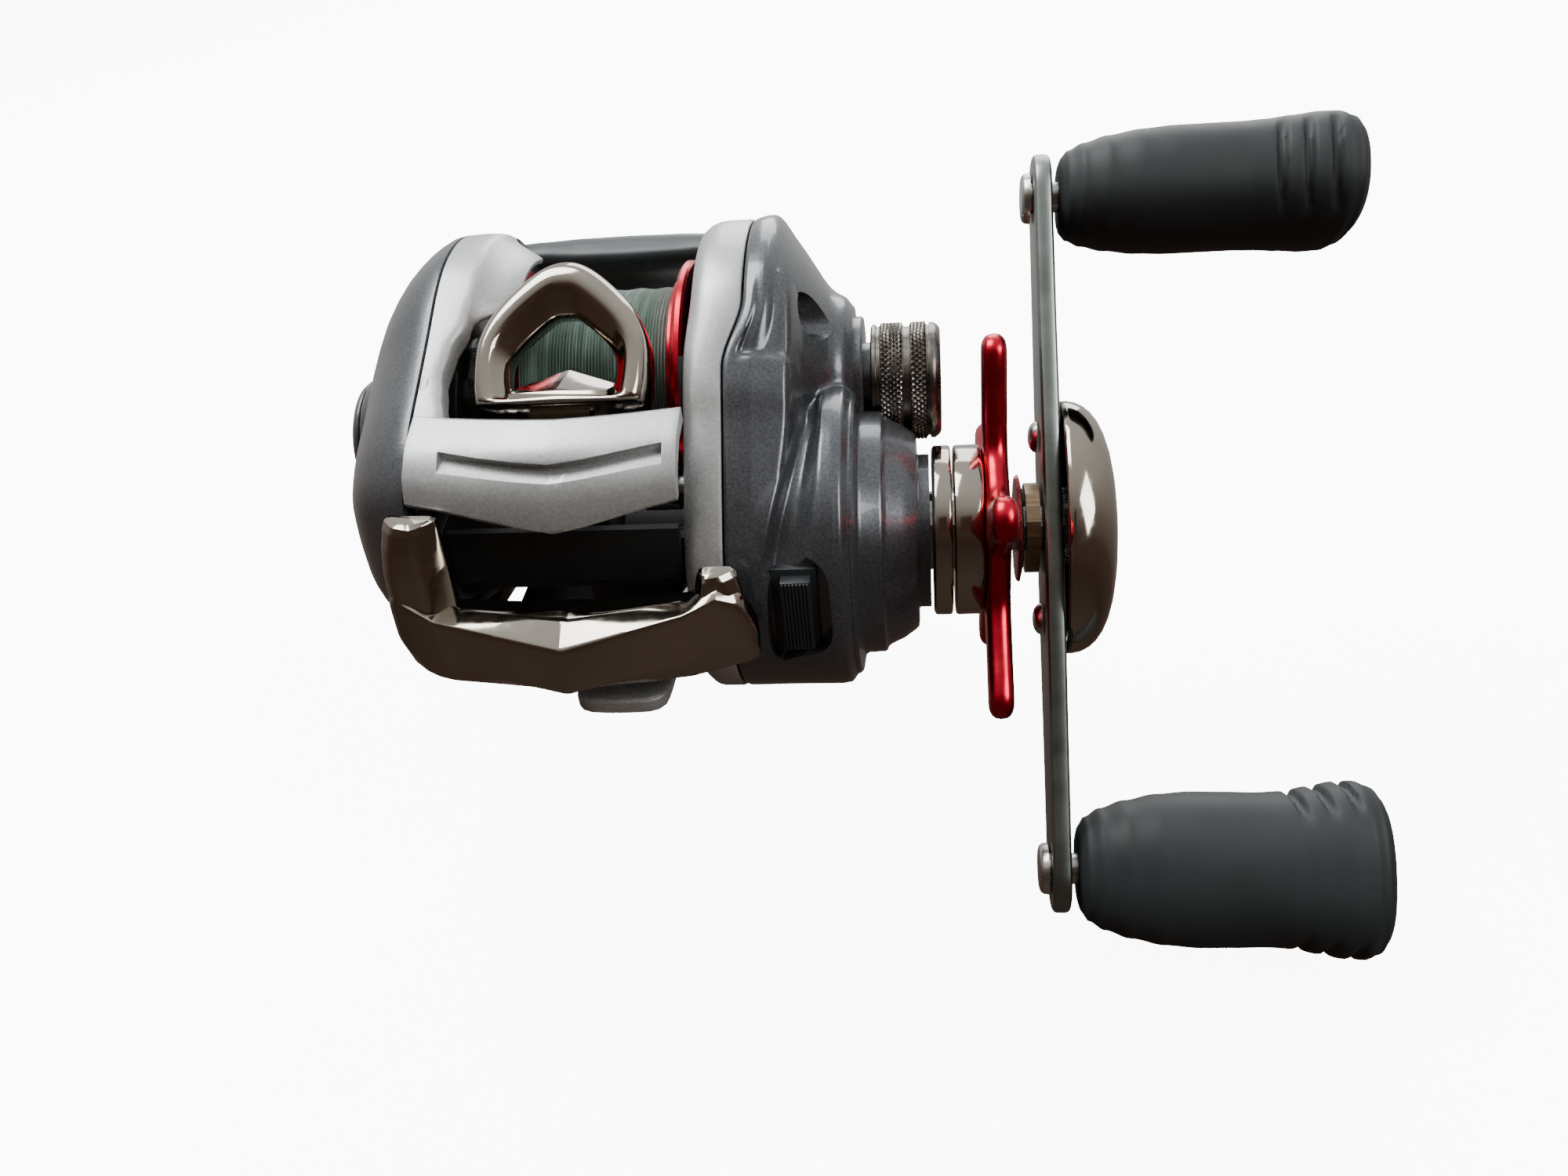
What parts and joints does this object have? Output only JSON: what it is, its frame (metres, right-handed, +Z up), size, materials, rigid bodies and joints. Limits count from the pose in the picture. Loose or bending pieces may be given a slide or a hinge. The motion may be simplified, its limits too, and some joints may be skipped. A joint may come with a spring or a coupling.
{
  "type": "baitcasting fishing reel",
  "caption": "Low-profile baitcasting reel with a two-knob crank, star drag, level-wind line guide, sprung finger bar and thumb bar clutch, on a rod-seat foot.",
  "frame": {"origin": "underside of the foot, on the foot's centreline, straight below the spool's axis", "axes": "+X along the spool's axis towards the handle, -Y towards the rod tip, +Z up from the rod"},
  "size_m": [0.1292, 0.0874, 0.0852],
  "materials": {
    "silver_paint": "satin metallic paint",
    "charcoal_paint": "gloss metallic paint with fine flake",
    "smoked_chrome": "polished",
    "red_anodised": "bright anodised",
    "black_plastic": "satin",
    "soft_rubber": "soft touch",
    "steel": "machined",
    "gunmetal": "knurled, satin",
    "arm_gunmetal": "satin",
    "brass": "machined",
    "line": "braided line",
    "grey_plastic": "satin",
    "carbon": "fibre washer"
  },
  "bodies": {
    "frame_side": {"main_frame": "silver_paint", "reel_foot": "silver_paint", "foot_rivet_a": "steel", "foot_rivet_b": "steel", "foot_rivet_c": "steel", "front_shroud": "silver_paint", "palm_cover": "charcoal_paint", "palm_plate": "black_plastic", "palm_bearing": "steel", "spool_bearing": "steel", "guide_rod": "steel", "worm_bearing": "steel", "worm_guard": "black_plastic", "shaft_bearing": "steel", "one_way_bearing": "steel", "gear_cover": "charcoal_paint", "cover_screw": "steel", "cast_bearing": "steel", "neck_collar": "smoked_chrome"},
    "brake_dial_body": {"brake_dial": "grey_plastic"},
    "magnet_body": {"magnet_plate": "steel"},
    "spool_body": {"spool": "red_anodised", "line_pack": "line", "spool_shaft": "steel", "clutch_pin": "steel", "brake_rotor": "steel"},
    "line_guide_body": {"line_guide": "smoked_chrome", "guide_carriage": "black_plastic"},
    "worm_body": {"worm_shaft": "steel", "worm_gear": "black_plastic"},
    "finger_bar_body": {"finger_bar": "smoked_chrome"},
    "thumb_bar_body": {"thumb_bar": "black_plastic", "clutch_cam": "steel"},
    "yoke_body": {"clutch_yoke": "black_plastic"},
    "pinion_body": {"pinion": "brass"},
    "crank_body": {"drive_shaft": "steel", "drive_gear": "brass", "worm_drive_gear": "steel", "ratchet_wheel": "steel", "drag_washer": "carbon", "pressure_plate": "steel", "clutch_sleeve": "steel", "spring_washer": "steel", "spacer_washer": "brass", "handle_arm": "arm_gunmetal", "handle_nut": "steel", "nut_cover": "smoked_chrome", "arm_rivet_a": "steel", "arm_rivet_b": "steel", "knob_pin_upper": "steel", "knob_pin_lower": "steel"},
    "star_body": {"drag_star": "red_anodised", "drag_housing": "smoked_chrome"},
    "upper_knob_body": {"knob_upper": "soft_rubber", "knob_cap_upper": "grey_plastic"},
    "lower_knob_body": {"knob_lower": "soft_rubber", "knob_cap_lower": "grey_plastic"},
    "cast_knob_body": {"cast_knob": "gunmetal"},
    "slide_switch_body": {"slide_switch": "black_plastic"}
  },
  "joints": [
    {"name": "crank_spin", "type": "hinge", "parent": "frame_side", "child": "crank_body", "pos_m": [0.03, -0.015, 0.01017], "axis": [1, 0, 0], "continuous": true},
    {"name": "star_drag_turn", "type": "hinge", "parent": "crank_body", "child": "star_body", "pos_m": [0.03, -0.015, 0.01017], "axis": [1, 0, 0], "range_deg": [-270, 90]},
    {"name": "upper_knob_spin", "type": "hinge", "parent": "crank_body", "child": "upper_knob_body", "pos_m": [0.0657, 0.01182, 0.04339], "axis": [1, 0, 0], "continuous": true},
    {"name": "lower_knob_spin", "type": "hinge", "parent": "crank_body", "child": "lower_knob_body", "pos_m": [0.0657, -0.04182, -0.02305], "axis": [1, 0, 0], "continuous": true},
    {"name": "spool_spin", "type": "hinge", "parent": "frame_side", "child": "spool_body", "pos_m": [0, 0, 0.024], "axis": [1, 0, 0], "continuous": true},
    {"name": "worm_spin", "type": "hinge", "parent": "frame_side", "child": "worm_body", "pos_m": [0, -0.02142, 0.02136], "axis": [1, 0, 0], "continuous": true},
    {"name": "line_guide_traverse", "type": "slide", "parent": "frame_side", "child": "line_guide_body", "axis": [1, 0, 0], "range_m": [-0.0031, 0.0026]},
    {"name": "finger_bar_press", "type": "hinge", "parent": "frame_side", "child": "finger_bar_body", "pos_m": [0, -0.008, 0.0053], "axis": [1, 0, 0], "range_deg": [0, 6], "stiffness_Nm_per_rad": 0.5, "springref_deg": -3.44},
    {"name": "thumb_bar_press", "type": "slide", "parent": "frame_side", "child": "thumb_bar_body", "axis": [0, 0, -1], "range_m": [0, 0.005]},
    {"name": "clutch_yoke_slide", "type": "slide", "parent": "frame_side", "child": "yoke_body", "axis": [1, 0, 0], "range_m": [0, 0.0015]},
    {"name": "pinion_spin", "type": "hinge", "parent": "yoke_body", "child": "pinion_body", "pos_m": [0.0157, 0, 0.024], "axis": [1, 0, 0], "continuous": true},
    {"name": "cast_knob_turn", "type": "hinge", "parent": "frame_side", "child": "cast_knob_body", "pos_m": [0.0347, 0, 0.024], "axis": [1, 0, 0], "range_deg": [-180, 180]},
    {"name": "brake_dial_turn", "type": "hinge", "parent": "frame_side", "child": "brake_dial_body", "pos_m": [-0.0363, -0.006, 0.021], "axis": [-1, 0, 0], "range_deg": [0, 300]},
    {"name": "magnet_shift", "type": "slide", "parent": "frame_side", "child": "magnet_body", "axis": [1, 0, 0], "range_m": [0, 0.0015]},
    {"name": "slide_switch_shift", "type": "slide", "parent": "frame_side", "child": "slide_switch_body", "axis": [1, 0, 0], "range_m": [0, 0.0013]}
  ],
  "couplings": [
    {"joint": "spool_spin", "follows": "crank_spin", "ratio": -5.8},
    {"joint": "pinion_spin", "follows": "crank_spin", "ratio": -5.8},
    {"joint": "worm_spin", "follows": "crank_spin", "ratio": -1.6875},
    {"joint": "clutch_yoke_slide", "follows": "thumb_bar_press", "ratio": 0.3},
    {"joint": "brake_dial_turn", "follows": "magnet_shift", "rad_per_m": 3490}
  ]
}
